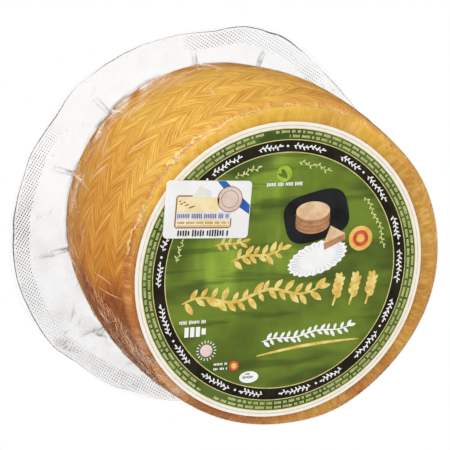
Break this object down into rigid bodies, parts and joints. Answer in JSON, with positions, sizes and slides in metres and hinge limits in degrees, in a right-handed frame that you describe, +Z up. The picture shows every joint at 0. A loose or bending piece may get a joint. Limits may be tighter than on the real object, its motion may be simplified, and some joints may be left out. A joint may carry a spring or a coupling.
{
  "type": "vacuum-packed cheese wheel",
  "caption": "Whole barrel-shaped cheese wheel with a herringbone rind, shrink-tight in clear film with a wide sealed flange, a round label and a small sticker.",
  "frame": {"origin": "on the wheel's axis, at the underside of the flat backing film that the pack lies on", "axes": "+Z up through the labelled face, +X the way the label reads, +Y the label's up"},
  "size_m": [0.1479, 0.1448, 0.081],
  "materials": {
    "rind": "golden waxy rind with pressed ridges, satin",
    "clear_film": "clear thin glossy film",
    "label_print": "printed coated paper, green with a black band and a white rim",
    "sticker_card": "white printed paper"
  },
  "bodies": {
    "root": {"cheese_wheel": "rind", "film_cup": "clear_film", "film_backing": "clear_film", "round_label": "label_print", "control_sticker": "sticker_card"}
  },
  "joints": []
}
